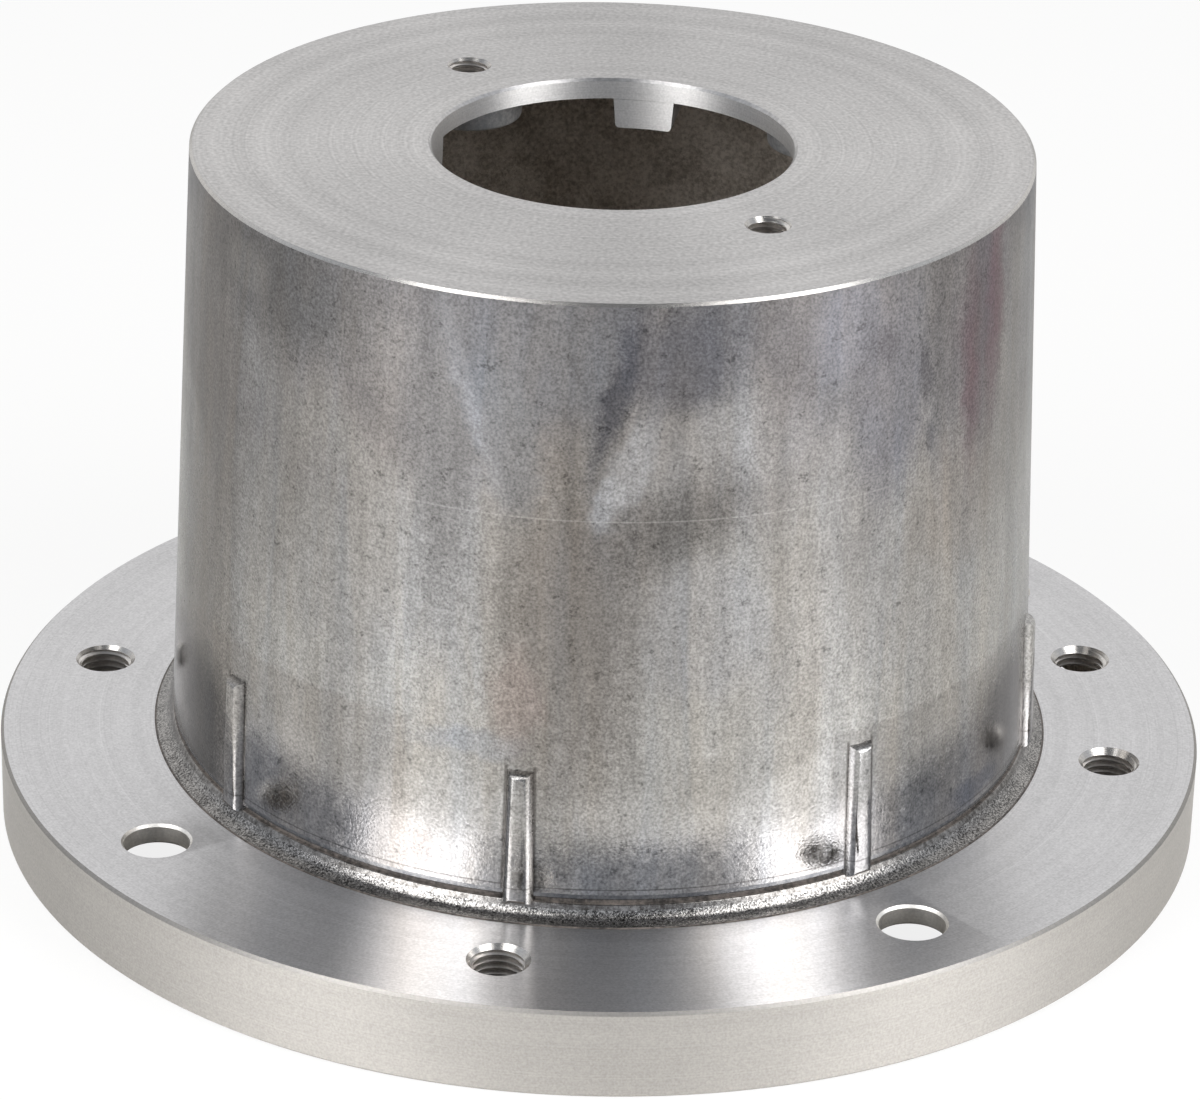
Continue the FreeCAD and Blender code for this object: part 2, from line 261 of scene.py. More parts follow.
def merge_into(body, other, how):
    """Join, cut or trim with the exact boolean solver, and drop the other piece."""
    choose(body)
    modifier = body.modifiers.new(how.lower(), "BOOLEAN")
    modifier.operation = how
    modifier.solver = "EXACT"
    modifier.object = other
    bpy.ops.object.modifier_apply(modifier=modifier.name)
    bpy.data.objects.remove(other)
    print(how.lower(), "leaves", len(body.data.polygons), "faces")


# %% Four cross pads
# Pads and bosses reach up into the plate, so that they overlap what they are joined to.
IN_PLATE = 201.0
PAD_END = HEIGHT - 15
PAD_WIDTH = 18.0
SOFT_EDGE = 1.2
pads = block("pads", (41.8, -PAD_WIDTH / 2, PAD_END), (115, PAD_WIDTH / 2, IN_PLATE))
narrow_end(pads, PAD_END, 0.9, 0.985, (80 * MM, 0, PAD_END * MM))
pick(pads, lambda point: point.z < PAD_END + 0.01)
bpy.ops.mesh.bevel(offset=SOFT_EDGE * MM, segments=3, affect="EDGES")
close(pads)
repeat_round(pads, 4)

# %% Four screw bosses
PUMP_RING = 73.0
BOSS_RADIUS = 16.0
boss_middle = (IN_PLATE + PAD_END) / 2
bpy.ops.object.select_all(action="DESELECT")
bpy.ops.mesh.primitive_cylinder_add(
    vertices=64, radius=BOSS_RADIUS * MM, depth=(IN_PLATE - PAD_END) * MM,
    location=(PUMP_RING * MM, 0, boss_middle * MM))
bosses = bpy.context.object
bosses.name = "bosses"
bpy.ops.object.transform_apply(location=True, rotation=True, scale=True)
narrow_end(bosses, PAD_END, 0.955, 0.955, (PUMP_RING * MM, 0, PAD_END * MM))
pick(bosses, lambda point: point.z < PAD_END + 0.01)
bpy.ops.mesh.bevel(offset=SOFT_EDGE * MM, segments=3, affect="EDGES")
bpy.ops.mesh.select_all(action="SELECT")
swing(45)
close(bosses)
repeat_round(bosses, 4)

# %% Four blocks under the brim
# Only the two upright corners that look towards the axis are rounded.
LAND_WIDTH = 44.0
LAND_INSIDE = 121.0
LAND_CORNER = 8.0
lands = block("lands", (LAND_INSIDE, -LAND_WIDTH / 2, 0), (171.5, LAND_WIDTH / 2, 23))
narrow_end(lands, 0, 0.97, 1, (150 * MM, 0, 0))
pick(lands, lambda point: False)
bpy.ops.object.mode_set(mode="OBJECT")
for edge in lands.data.edges:
    ends = [lands.data.vertices[number].co / MM for number in edge.vertices]
    upright = abs(ends[0].z - ends[1].z) > 20
    edge.select = upright and all(end.x < LAND_INSIDE + 1 for end in ends)
bpy.ops.object.mode_set(mode="EDIT")
bpy.ops.mesh.bevel(offset=LAND_CORNER * MM, segments=6, affect="EDGES")
close(lands)
repeat_round(lands, 4)

# %% [markdown]
# ## Ribs
# Eight small ribs stand on the foot of the bell, one above each hole of the brim. Their outer
# face follows the drafted wall, 2.5 mm proud of it. A rib is narrower at its head and at its
# outer face, its head slopes, and its outer edges are soft, so each draws its own bright line.

# %% Eight ribs
RIB_FACE = 127.3
RIB_HEAD = 70.4
RIB_WIDTH = 14.2
RIB_EDGE = 1.7
ribs = block("ribs", (119.5, -RIB_WIDTH / 2, 30), (RIB_FACE, RIB_WIDTH / 2, RIB_HEAD))
narrow_end(ribs, RIB_HEAD, 0.75, 1, (124 * MM, 0, RIB_HEAD * MM))
pick(ribs, lambda point: point.x > 127)
bpy.ops.transform.resize(value=(1, 0.45, 1), center_override=(RIB_FACE * MM, 0, 50 * MM))
bpy.ops.object.mode_set(mode="OBJECT")
pick(ribs, lambda point: point.x > 127 and point.z > 69)
bpy.ops.transform.translate(value=(-1.2 * MM, 0, -1.8 * MM))
bpy.ops.object.mode_set(mode="OBJECT")
pick(ribs, lambda point: point.x > 125)
bpy.ops.mesh.bevel(offset=RIB_EDGE * MM, segments=6, affect="EDGES", clamp_overlap=False)
close(ribs)
repeat_round(ribs, 8)

# %% Join what was cast together
for extra in (pads, bosses, lands, ribs):
    merge_into(housing, extra, "UNION")

# %% [markdown]
# ## Turning the bore and the recess
# Two cuts are made on the lathe: the bore that centres the pump, with a bevelled mouth, and the
# recess that centres the motor. Each cutter is a turned piece that reaches past the casting.

# %% Bore and recess
BORE = 50.8
bore_section = [(0, 210), (BORE + 6.8, 210), (BORE, HEIGHT - TOP_CHAMFER), (BORE, 197.9)]
bore_section += [(BORE + 0.2, 197.8), (BORE + 0.2, 180), (0, 180)]
merge_into(housing, turn("bore", bore_section), "DIFFERENCE")
recess_section = [(0, 6), (125, 6), (125, 1), (128, -2), (0, -2)]
merge_into(housing, turn("recess", recess_section), "DIFFERENCE")

# %% [markdown]
# ## Drilling
# A drill and its countersink are one turned cutter, made on the axis and then moved out to its
# hole circle. The four plain holes pass through the thin brim only. A cutter's corners are again
# (radius, height), and it starts and ends outside the metal.

# %% Drilled holes
HOLE_RING = 150.0


def move_out(cutter, ring, lift, angle, count):
    """Move a cutter from the axis out to its hole circle, and copy it round."""
    pick(cutter, lambda point: True)
    bpy.ops.mesh.select_all(action="SELECT")
    bpy.ops.transform.translate(value=(ring * MM, 0, lift * MM))
    swing(angle)
    close(cutter)
    if count > 1:
        repeat_round(cutter, count)
    return cutter


def drill(name, corners, ring, angle, count):
    """Turn the cutter for a ring of drilled holes."""
    return move_out(turn(name, corners, steps=96), ring, 0, angle, count)


PLAIN_HOLE = 9.25
plain = [(0, 36), (19.25, 36), (PLAIN_HOLE, 25.25)]
plain += [(PLAIN_HOLE, 20.75), (10.75, 19), (0, 19)]
merge_into(housing, drill("plain_holes", plain, HOLE_RING, 45, 4), "DIFFERENCE")

# %% [markdown]
# ## Tapping
# A tapped hole shows its thread, so the tap is modelled too. One pitch of the thread's edge is
# drawn as a section and a Screw modifier winds it upwards, turn by turn. Its two open ends are
# closed by one face each, outside the metal, and the tap is then cut out like any drill.

# %% The tap
# A small odd turn and lift keep the tap's corners off the corners of the drilled hole, where the
# boolean would leave slivers.
ODD_ANGLE = 3.1
ODD_LIFT = 0.13
# A metric thread is cut this deep, as a share of its pitch.
THREAD_DEPTH = 0.54125


def close_end(cutter, middle, upper):
    """Close the open end of a tap that lies above or below its middle, in millimetres."""
    pick(cutter, lambda point: True)
    bpy.ops.mesh.select_all(action="DESELECT")
    bpy.ops.mesh.select_non_manifold()
    bpy.ops.object.mode_set(mode="OBJECT")
    for edge in cutter.data.edges:
        if edge.select:
            height = cutter.data.vertices[edge.vertices[0]].co.z / MM
            edge.select = (height > middle) == upper
    bpy.ops.object.mode_set(mode="EDIT")
    bpy.ops.mesh.edge_face_add()
    bpy.ops.object.mode_set(mode="OBJECT")


def tap(name, core, pitch, low, high, ring, angle, count):
    """Wind the thread of a ring of tapped holes, as a cutter."""
    depth = THREAD_DEPTH * pitch
    flank = depth * math.tan(math.radians(30))
    flat = (pitch - 2 * flank) / 3
    profile = [(core, 0), (core, flat), (core + depth, flat + flank)]
    profile += [(core + depth, 2 * flat + flank), (core, 2 * (flat + flank)), (core, pitch)]
    cutter = start_section(name, profile)
    bpy.ops.object.mode_set(mode="OBJECT")
    turns = math.ceil((high - low) / pitch) + 3
    winding = cutter.modifiers.new("winding", "SCREW")
    winding.angle = math.tau
    winding.screw_offset = pitch * MM
    winding.iterations = turns
    winding.steps = winding.render_steps = 48
    winding.use_merge_vertices = True
    winding.merge_threshold = 0.001 * MM
    bpy.ops.object.modifier_apply(modifier=winding.name)
    for upper in (False, True):
        close_end(cutter, turns * pitch / 2, upper)
    pick(cutter, lambda point: True)
    bpy.ops.mesh.select_all(action="SELECT")
    swing(ODD_ANGLE)
    return move_out(cutter, ring, low - 2 * pitch + ODD_LIFT, angle, count)


# %% Tapped holes for the motor, the pump and the spare screw
# The drill is a little thinner than the tap's core, so that the two cuts never share a surface.
MOTOR_CORE = 7.0
MOTOR_PITCH = 2.0
SPARE_ANGLE = 25.5
PUMP_CORE = 5.1
PUMP_PITCH = 1.75
PUMP_ANGLE = -45
motor_mouths = [(0, 30), (12.8, 30), (6.9, 24.1), (6.9, 1.9), (11.8, -3), (0, -3)]
motor_drill = drill("motor_mouths", motor_mouths, HOLE_RING, 0, 4)
merge_into(housing, motor_drill, "DIFFERENCE")
motor_taps = tap("motor_taps", MOTOR_CORE, MOTOR_PITCH, 0, BRIM_FACE, HOLE_RING, 0, 4)
merge_into(housing, motor_taps, "DIFFERENCE")
spare_mouth = [(0, 30), (12.8, 30), (6.9, 24.1), (6.9, 17), (0, 17)]
spare_drill = drill("spare_mouth", spare_mouth, HOLE_RING, SPARE_ANGLE, 1)
merge_into(housing, spare_drill, "DIFFERENCE")
spare_tap = tap("spare_tap", MOTOR_CORE, MOTOR_PITCH, 18, BRIM_FACE, HOLE_RING, SPARE_ANGLE, 1)
merge_into(housing, spare_tap, "DIFFERENCE")
pump_mouths = [(0, 208), (10.4, 208), (5.05, 202.65), (5.05, 187), (0, 187)]
pump_drill = drill("pump_mouths", pump_mouths, PUMP_RING, PUMP_ANGLE, 2)
merge_into(housing, pump_drill, "DIFFERENCE")
pump_taps = tap("pump_taps", PUMP_CORE, PUMP_PITCH, 188, HEIGHT, PUMP_RING, PUMP_ANGLE, 2)
merge_into(housing, pump_taps, "DIFFERENCE")

# %% Clean the mesh, smooth what is round and keep crisp edges
pick(housing, lambda point: True)
bpy.ops.mesh.select_all(action="SELECT")
bpy.ops.mesh.remove_doubles(threshold=0.003 * MM)
bpy.ops.mesh.dissolve_degenerate(threshold=0.003 * MM)
bpy.ops.object.mode_set(mode="OBJECT")
choose(housing)
bpy.ops.object.shade_smooth_by_angle(angle=math.radians(28))
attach(housing, "root")
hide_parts("bell_housing")
print("housing:", len(housing.data.polygons), "faces")

# %% [markdown]
# ## Colours and nodes
# Colours are written as sRGB hex codes, as a colour picker shows them, and one function turns
# them to the linear light that a shader works in. `add` puts one node in a material: its own
# settings by name, and what goes into its sockets, either a plain value or a link. Sockets that
# share a name are given by number. Map Range takes its value at 0, the old range at 1 and 2, and
# the new one at 3 and 4. Mix takes its share at 0, numbers at 2 and 3, and colours at 6 and 7.
#
# All patterns read Object coordinates. These are metres, so `grain` turns a real size in
# millimetres into the scale of a texture node.

# %% Helpers for materials
def colour(code):
    """An sRGB hex colour in linear light."""
    parts = [int(code[place:place + 2], 16) / 255 for place in (1, 3, 5)]
    return [c / 12.92 if c <= 0.04045 else ((c + 0.055) / 1.055) ** 2.4 for c in parts] + [1]


def add(tree, kind, feeds, **settings):
    """Add one node with its settings, and feed its sockets with values or links."""
    made = tree.nodes.new("ShaderNode" + kind)
    for setting, value in settings.items():
        setattr(made, setting, value)
    for socket, value in feeds.items():
        if isinstance(value, bpy.types.NodeSocket):
            tree.links.new(value, made.inputs[socket])
        else:
            made.inputs[socket].default_value = value
    return made


def grain(size):
    """The texture scale that gives spots of about this size, in millimetres."""
    return 1 / (size * MM)


def new_finish(name, metallic, roughness):
    """Start a material and return it with its tree, its shader and its Object coordinates."""
    material = bpy.data.materials.new(name)
    material.use_nodes = True
    tree = material.node_tree
    shader = tree.nodes["Principled BSDF"]
    shader.inputs["Metallic"].default_value = metallic
    shader.inputs["Roughness"].default_value = roughness
    place = add(tree, "TexCoord", {}).outputs["Object"]
    return material, tree, shader, place


# %% [markdown]
# ## The cast skin
# Sand-cast aluminium with a thin oxide skin: metallic, half glossy at the foot and duller
# higher up. On the real bell it isn't even. It is lighter at the foot, partly painted light that
# stands for the light the brim throws up onto it, and darker towards the pump end, with grey and
# bluish clouds where the metal flowed, upright streaks from drawing the pattern, a faint warm
# and cool tinge, and a sandy grain. All of that comes from noise at those sizes, stretched
# upright for the streaks. Marks that have a place are blots: ellipses or rectangles on the
# unrolled wall, with edges that noise makes uneven. Two of them near the foot are painted
# reflections. An image would be quicker, but noise stays sharp at any distance and goes round
# the whole bell.

# %% The unrolled wall
# The skin gives soft, blotchy reflections that are never as clear as a turned face's.
UNROLL_RADIUS = 122.0
skin, tree, shader, place = new_finish("as_cast_aluminium_skin", 1.0, 0.36)
apart = add(tree, "SeparateXYZ", {0: place})
turn_angle = add(tree, "Math", {0: apart.outputs["Y"], 1: apart.outputs["X"]}, operation="ARCTAN2")
arc = add(tree, "Math", {0: turn_angle.outputs[0], 1: UNROLL_RADIUS * MM}, operation="MULTIPLY")
wall = add(tree, "CombineXYZ", {"X": arc.outputs[0], "Y": apart.outputs["Z"]}).outputs[0]
wobble = add(tree, "TexNoise", {"Vector": place, "Scale": grain(11), "Detail": 5, "Roughness": 0.6})
shift = add(tree, "VectorMath", {0: wobble.outputs["Color"], 1: (0.5, 0.5, 0.5)}, operation="SUBTRACT")
shift = add(tree, "VectorMath", {0: shift.outputs[0], "Scale": 12 * MM}, operation="SCALE")
uneven = add(tree, "VectorMath", {0: wall, 1: shift.outputs[0]}, operation="ADD").outputs[0]
print("the wall is unrolled at a radius of", UNROLL_RADIUS, "mm")

# %% Grain, mottle, drag marks and streaks
# The sand of the mould is finer than 0.75 mm, but finer specks would vanish in the picture.
speck = add(tree, "TexNoise", {"Vector": place, "Scale": grain(0.75), "Detail": 1, "Roughness": 0.6})
mottle = add(tree, "TexNoise", {"Vector": place, "Scale": grain(3), "Detail": 4, "Roughness": 0.65})
stretched = add(tree, "Mapping", {"Vector": place, "Scale": (1, 1, 0.12)})
drag = add(tree, "TexNoise", {"Vector": stretched.outputs[0], "Scale": grain(3.5), "Detail": 4})
pulled = add(tree, "Mapping", {"Vector": place, "Scale": (1, 1, 0.07)})
streaks = add(tree, "TexNoise", {
    "Vector": pulled.outputs[0], "Scale": grain(10), "Detail": 3, "Distortion": 0.3})
fine = add(tree, "Mix", {0: 0.6, 2: mottle.outputs["Fac"], 3: speck.outputs["Fac"]})
print("grain, mottle, drag marks and streaks use", len(tree.nodes), "nodes so far")

# %% Clouds over the height of the wall
# Noise seldom leaves this range, so it is Map Range's old range wherever noise is spread.
NOISE = {1: 0.3, 2: 0.7}
clouds = add(tree, "TexNoise", {"Vector": place, "Scale": grain(40), "Detail": 4, "Distortion": 0.6})
drift = add(tree, "MapRange", {0: clouds.outputs["Fac"], **NOISE, 3: -28 * MM, 4: 28 * MM})
cloudy_height = add(tree, "Math", {0: apart.outputs["Z"], 1: drift.outputs[0]}, operation="ADD")
share = add(tree, "MapRange", {0: cloudy_height.outputs[0], 1: 30 * MM, 2: 210 * MM})
# The tone runs from light at the foot to dark at the pump end: partly the real skin, partly painted
# light where the brim lights the foot.
tone = add(tree, "ValToRGB", {0: share.outputs[0]})
TONES = [(0.08, "#B2B0AE"), (0.2, "#A09E9B"), (0.38, "#979593"), (0.58, "#8B8987")]
TONES += [(0.8, "#7F7C7B"), (0.97, "#6D6B6C")]
for where, code in TONES:
    step = tone.color_ramp.elements.new(where)
    step.color = colour(code)
tone.color_ramp.elements.remove(tone.color_ramp.elements[0])
tone.color_ramp.elements.remove(tone.color_ramp.elements[-1])
print(len(tone.color_ramp.elements), "tones from the foot to the pump end")


def blot(under, angle, height, wide, high, tilt, soft, code, strength, square=False):
    """Blend a colour over what lies under, within one mark on the unrolled wall."""
    middle = (math.radians(angle) * UNROLL_RADIUS * MM, height * MM, 0)
    inside = add(tree, "Mapping", {
        "Vector": wall if square else uneven, "Location": middle,
        "Rotation": (0, 0, math.radians(tilt)), "Scale": (wide * MM, high * MM, 1)},
        vector_type="TEXTURE").outputs[0]
    if square:
        sides = add(tree, "VectorMath", {0: inside}, operation="ABSOLUTE")
        sides = add(tree, "SeparateXYZ", {0: sides.outputs[0]})
        reach = add(tree, "Math", {0: sides.outputs["X"], 1: sides.outputs["Y"]}, operation="MAXIMUM")
        reach = reach.outputs[0]
    else:
        reach = add(tree, "VectorMath", {0: inside}, operation="LENGTH").outputs["Value"]
    ragged = add(tree, "Math", {0: fine.outputs[0], 1: soft, 2: reach}, operation="MULTIPLY_ADD")
    share = add(tree, "MapRange", {
        0: ragged.outputs[0], 1: 1 + 1.5 * soft, 2: 1 - 0.5 * soft, 3: 0, 4: strength},
        interpolation_type="SMOOTHSTEP")
    return add(tree, "Mix", {0: share.outputs[0], 6: under, 7: colour(code)},
               data_type="RGBA").outputs[2]


# %% Flow marks on the upper wall
# A mark is: its angle round the wall in degrees, its height, its half width and half height in
# millimetres, its tilt in degrees, how soft its edge is, its colour and its strength. True makes
# it a rectangle.
FLOW_MARKS = [
    (-147, 120, 24, 95, 0, 0.5, "#6E6965", 0.7),
    (-128, 192, 34, 17, 0, 0.5, "#646261", 0.75),
    (-136, 192, 10, 7, 0, 0.5, "#85827F", 0.5),
    (-84, 116, 18, 58, 0, 0.6, "#736E6A", 0.75),
    (-101, 156, 9, 42, 0, 0.6, "#757270", 0.8),
    (-88, 188, 20, 20, 0, 0.4, "#737376", 0.75),
    (-93, 165, 9, 22, 14, 0.35, "#7A7B7E", 0.7),
    (-97, 168, 2.6, 24, 17, 0.9, "#9A9A9D", 0.4),
    (-71, 187, 17, 14, 0, 0.45, "#616064", 0.85),
    (-79, 178, 3.4, 20, -16, 0.8, "#4E4E53", 0.85),
    (-64, 163, 20, 13, 8, 0.4, "#939190", 0.7),
    (-77, 157, 5, 16, -18, 0.4, "#9A9A9C", 0.6),
    (-80, 148, 3.6, 8, -20, 0.4, "#A2A2A4", 0.6),
    (-72, 140, 14, 8, 10, 1.1, "#5F5C5A", 0.8),
    (-66, 150, 9, 7, 20, 1.0, "#6B6866", 0.6),
    (-67, 111, 17, 20, 0, 0.25, "#999899", 0.6),
    (-57, 183, 10, 22, 0, 0.6, "#6F6D70", 0.5),
    (-48, 192, 11, 14, 0, 0.5, "#7D7C81", 0.7),
    (-41, 170, 13, 30, 0, 0.4, "#6D6C71", 0.75),
    (-42, 184, 4, 4, 0, 0.6, "#58565A", 0.6),
    (-31, 178, 8, 30, 0, 0.5, "#686668", 0.75),
    (-35, 172, 2.5, 9, 4, 0.5, "#504E52", 0.6),
    (-34, 153, 2.6, 4, 0, 0.5, "#525155", 0.6),
    (-22, 180, 12, 30, -4, 0.8, "#625A5E", 0.8),
    (-25, 166, 3.6, 24, 0, 1.0, "#675359", 0.7),
    (-19, 186, 3.6, 26, 0, 1.0, "#6E555B", 0.7),
    (-27, 130, 18, 18, 0, 0.5, "#8B827A", 0.4),
    (-76, 143.1, 52, 0.12, 0, 2.2, "#D6D4D1", 0.24, True),
]
print(len(FLOW_MARKS), "flow marks")

# %% Marks near the foot, two of them painted reflections
FOOT_MARKS_AND_REFLECTIONS = [
    (-131, 55, 55, 25, 0, 0.05, "#7D7772", 0.35, True),
    (-26, 50, 50, 24.5, 1, 0.05, "#75716E", 0.35, True),
    (-145, 50, 16, 22, 0, 0.5, "#4B4946", 0.8),
    (-97, 76, 14, 3.5, 0, 0.5, "#8F9298", 0.5),
    (-91, 90, 7, 14, 0, 0.5, "#918581", 0.5),
    (-103, 42, 4, 6, 20, 0.8, "#8A7F78", 0.4),
    # The next two dark marks are painted reflections of holes in the brim, seen in the glossy foot.
    (-31, 52, 10, 10, 0, 0.6, "#66676C", 0.25),
    (-21, 38, 14, 4.5, 0, 0.5, "#686B75", 0.7),
    (-12, 54, 20, 18, 0, 0.5, "#605C58", 0.7),
    (-80, 34.9, 260, 0.2, 0, 0.5, "#5E5A57", 0.6, True),
    (-150, 36, 26, 4, 0, 0.5, "#4A4744", 0.6),
]
paint = tone.outputs["Color"]
for mark in FLOW_MARKS + FOOT_MARKS_AND_REFLECTIONS:
    paint = blot(paint, *mark)
print(len(FOOT_MARKS_AND_REFLECTIONS), "foot stains")

# %% Painted shade in the corners where the ribs meet the wall
# The ribs stand 45 degrees apart, and PINGPONG gives the distance along the wall to the nearest.
HALF_SPACING = math.radians(22.5) * UNROLL_RADIUS
HALF_WIDTH_FOOT = 4.35
HALF_WIDTH_HEAD = 3.9
CREASE_SHADE_FADES_AT = 0.7
CREASE_SHADE_FULL_AT = 0.2
from_rib = add(tree, "Math", {0: arc.outputs[0], 1: HALF_SPACING * MM}, operation="PINGPONG")
rib_half = add(tree, "MapRange", {
    0: apart.outputs["Z"], 1: 33 * MM, 2: 70 * MM, 3: HALF_WIDTH_FOOT * MM, 4: HALF_WIDTH_HEAD * MM})
gap = add(tree, "Math", {0: from_rib.outputs[0], 1: rib_half.outputs[0]}, operation="SUBTRACT")
gap = add(tree, "Math", {0: gap.outputs[0]}, operation="ABSOLUTE")
close_by = add(tree, "MapRange", {
    0: gap.outputs[0], 1: CREASE_SHADE_FADES_AT * MM, 2: CREASE_SHADE_FULL_AT * MM, 3: 0, 4: 0.7})
below_head = add(tree, "MapRange", {0: apart.outputs["Z"], 1: 71.2 * MM, 2: 70.2 * MM})
painted_crease_shade = add(tree, "Math", {0: close_by.outputs[0], 1: below_head.outputs[0]}, operation="MULTIPLY")
# Painted shade: this dark colour darkens the creases beside each rib, below its head.
paint = add(tree, "Mix", {0: painted_crease_shade.outputs[0], 6: paint, 7: colour("#4A4643")}, data_type="RGBA")
paint = paint.outputs[2]
print("dirt lies within", CREASE_SHADE_FADES_AT, "mm of the ribs' sides")

# %% The skin's grain
level = add(tree, "MapRange", {0: speck.outputs["Fac"], **NOISE, 3: 0.76, 4: 1.24})
patchy = add(tree, "MapRange", {0: mottle.outputs["Fac"], **NOISE, 3: 0.9, 4: 1.1})
drawn = add(tree, "MapRange", {0: drag.outputs["Fac"], **NOISE, 3: 0.92, 4: 1.08})
flowed = add(tree, "MapRange", {0: streaks.outputs["Fac"], **NOISE, 3: 0.9, 4: 1.1})
pitted = add(tree, "MapRange", {0: mottle.outputs["Fac"], 1: 0.3, 2: 0.38, 3: 0.7, 4: 1.0})
for part in (patchy, drawn, flowed, pitted):
    level = add(tree, "Math", {0: level.outputs[0], 1: part.outputs[0]}, operation="MULTIPLY")
print("brightness is made of five patterns")

# %% The warm and cool tinge, and the skin's colour
hues = add(tree, "TexNoise", {
    "Vector": stretched.outputs[0], "Scale": grain(14), "Detail": 3, "Distortion": 0.8})
warm_or_cool = add(tree, "MapRange", {0: hues.outputs["Fac"], 1: 0.35, 2: 0.65})
tinge = add(tree, "Mix", {
    0: warm_or_cool.outputs[0], 6: colour("#FFFCF8"), 7: colour("#FAFCFF")}, data_type="RGBA")
for factor in (tinge.outputs[2], level.outputs[0]):
    paint = add(tree, "Mix", {0: 1.0, 6: paint, 7: factor}, data_type="RGBA", blend_type="MULTIPLY")
    paint = paint.outputs[2]
tree.links.new(paint, shader.inputs["Base Color"])
print("colour: tone, blots, dirt, tinge and grain")

# %% The skin's gloss and relief
polish = add(tree, "MapRange", {0: cloudy_height.outputs[0], 1: 45 * MM, 2: 85 * MM, 3: 0.19, 4: 0.29})
dull = add(tree, "MapRange", {0: cloudy_height.outputs[0], 1: 100 * MM, 2: 160 * MM, 3: 0, 4: 0.13})
gloss = add(tree, "MapRange", {0: mottle.outputs["Fac"], **NOISE, 3: -0.07, 4: 0.07})
for part in (polish, dull):
    gloss = add(tree, "Math", {0: gloss.outputs[0], 1: part.outputs[0]}, operation="ADD")
tree.links.new(gloss.outputs[0], shader.inputs["Roughness"])
bump = add(tree, "Bump", {"Strength": 0.5, "Distance": 0.12 * MM, "Height": fine.outputs[0]})
tree.links.new(bump.outputs[0], shader.inputs["Normal"])
print("skin has", len(tree.nodes), "nodes")

# %% [markdown]
# ## Turned faces
# The pump face, the brim and its rim are turned. A lathe tool leaves fine grooves round the
# axis, which stretch every highlight across the grooves. The shader does this with
# anisotropy along a radial tangent. The grooves themselves are noise over the radius alone, or
# over the height on an upright face. The real feed is about 0.2 mm, too fine for the picture,
# so it is drawn two to four times as coarse. Threads and drilled holes are plain bright cuts.

# %% Turned finishes
def turned(name, code, roughness, feed, around, stretch, contrast=0.12):
    """A lathe-turned finish: feed in millimetres, contrast as a share of the brightness."""
    material, tree, shader, place = new_finish(name, 1.0, roughness)
    apart = add(tree, "SeparateXYZ", {0: place})
    flat = add(tree, "CombineXYZ", {"X": apart.outputs["X"], "Y": apart.outputs["Y"]})
    radius = add(tree, "VectorMath", {0: flat.outputs[0]}, operation="LENGTH").outputs["Value"]
    over = apart.outputs["Z"] if around else radius
    grooves = add(tree, "TexNoise", {"W": over, "Scale": grain(feed), "Detail": 3},
                  noise_dimensions="1D")
    bands = add(tree, "TexNoise", {"W": over, "Scale": grain(feed * 9), "Detail": 2},
                noise_dimensions="1D")
    haze = add(tree, "TexNoise", {"Vector": place, "Scale": grain(30), "Detail": 4})
    sparkle = add(tree, "TexNoise", {"Vector": place, "Scale": grain(1.5 * feed), "Detail": 1})
    both = add(tree, "Mix", {0: 0.4, 2: grooves.outputs["Fac"], 3: bands.outputs["Fac"]})
    both = add(tree, "Mix", {0: 0.3, 2: both.outputs[0], 3: haze.outputs["Fac"]})
    both = add(tree, "Mix", {0: 0.5, 2: both.outputs[0], 3: sparkle.outputs["Fac"]})
    level = add(tree, "MapRange", {
        0: both.outputs[0], 1: 0.35, 2: 0.65, 3: 0.99 - contrast, 4: 0.99 + contrast})
    paint = add(tree, "Mix", {0: 1.0, 6: colour(code), 7: level.outputs[0]},
                data_type="RGBA", blend_type="MULTIPLY")
    tree.links.new(paint.outputs[2], shader.inputs["Base Color"])
    bump = add(tree, "Bump", {
        "Strength": 0.12, "Distance": 0.05 * MM, "Height": grooves.outputs["Fac"]})
    tree.links.new(bump.outputs[0], shader.inputs["Normal"])
    shader.inputs["Anisotropic"].default_value = stretch
    shader.inputs["Anisotropic Rotation"].default_value = 0.25
    round_axis = add(tree, "Tangent", {}, direction_type="RADIAL", axis="Z")
    tree.links.new(round_axis.outputs[0], shader.inputs["Tangent"])
    return material


# Turned with a coarse feed: an even pale grey with faint rings and a drawn-out highlight.
pump_face = turned("turned_pump_face", "#BAB8B7", 0.36, 0.8, False, 0.75, 0.22)
# The glossiest turned face: it mirrors the wall and the lamps as soft-edged stripes.
brim_face = turned("turned_brim_face", "#C5C4C5", 0.3, 0.45, False, 0.7, 0.15)
# Turned with a worn tool: matt, with fine lines round it.
rim_face = turned("turned_rim", "#B3AFAA", 0.64, 0.45, True, 0.6)
# Bored: bright, with a broad sheen.
bore_face = turned("turned_bore", "#D0CECC", 0.5, 0.4, True, 0.8)
# Cut by a tap: bright flanks with dark lines between them.
thread_face = turned("cut_thread", "#D8D4D0", 0.28, 0.5, True, 0)
# Cut by a sharp tool in one pass: small glints.
chamfer = turned("cut_chamfer", "#BAB7B3", 0.24, 0.5, True, 0)
# Broken edge of the brim: duller and darker than the brim, a thin darker line.
brim_edge = turned("turned_brim_edge", "#8F8C88", 0.42, 0.5, True, 0)
# Drilled: bright but dull.
hole_face = turned("drilled_hole", "#DAD7D2", 0.45, 0.5, True, 0)
print("eight turned and cut finishes")
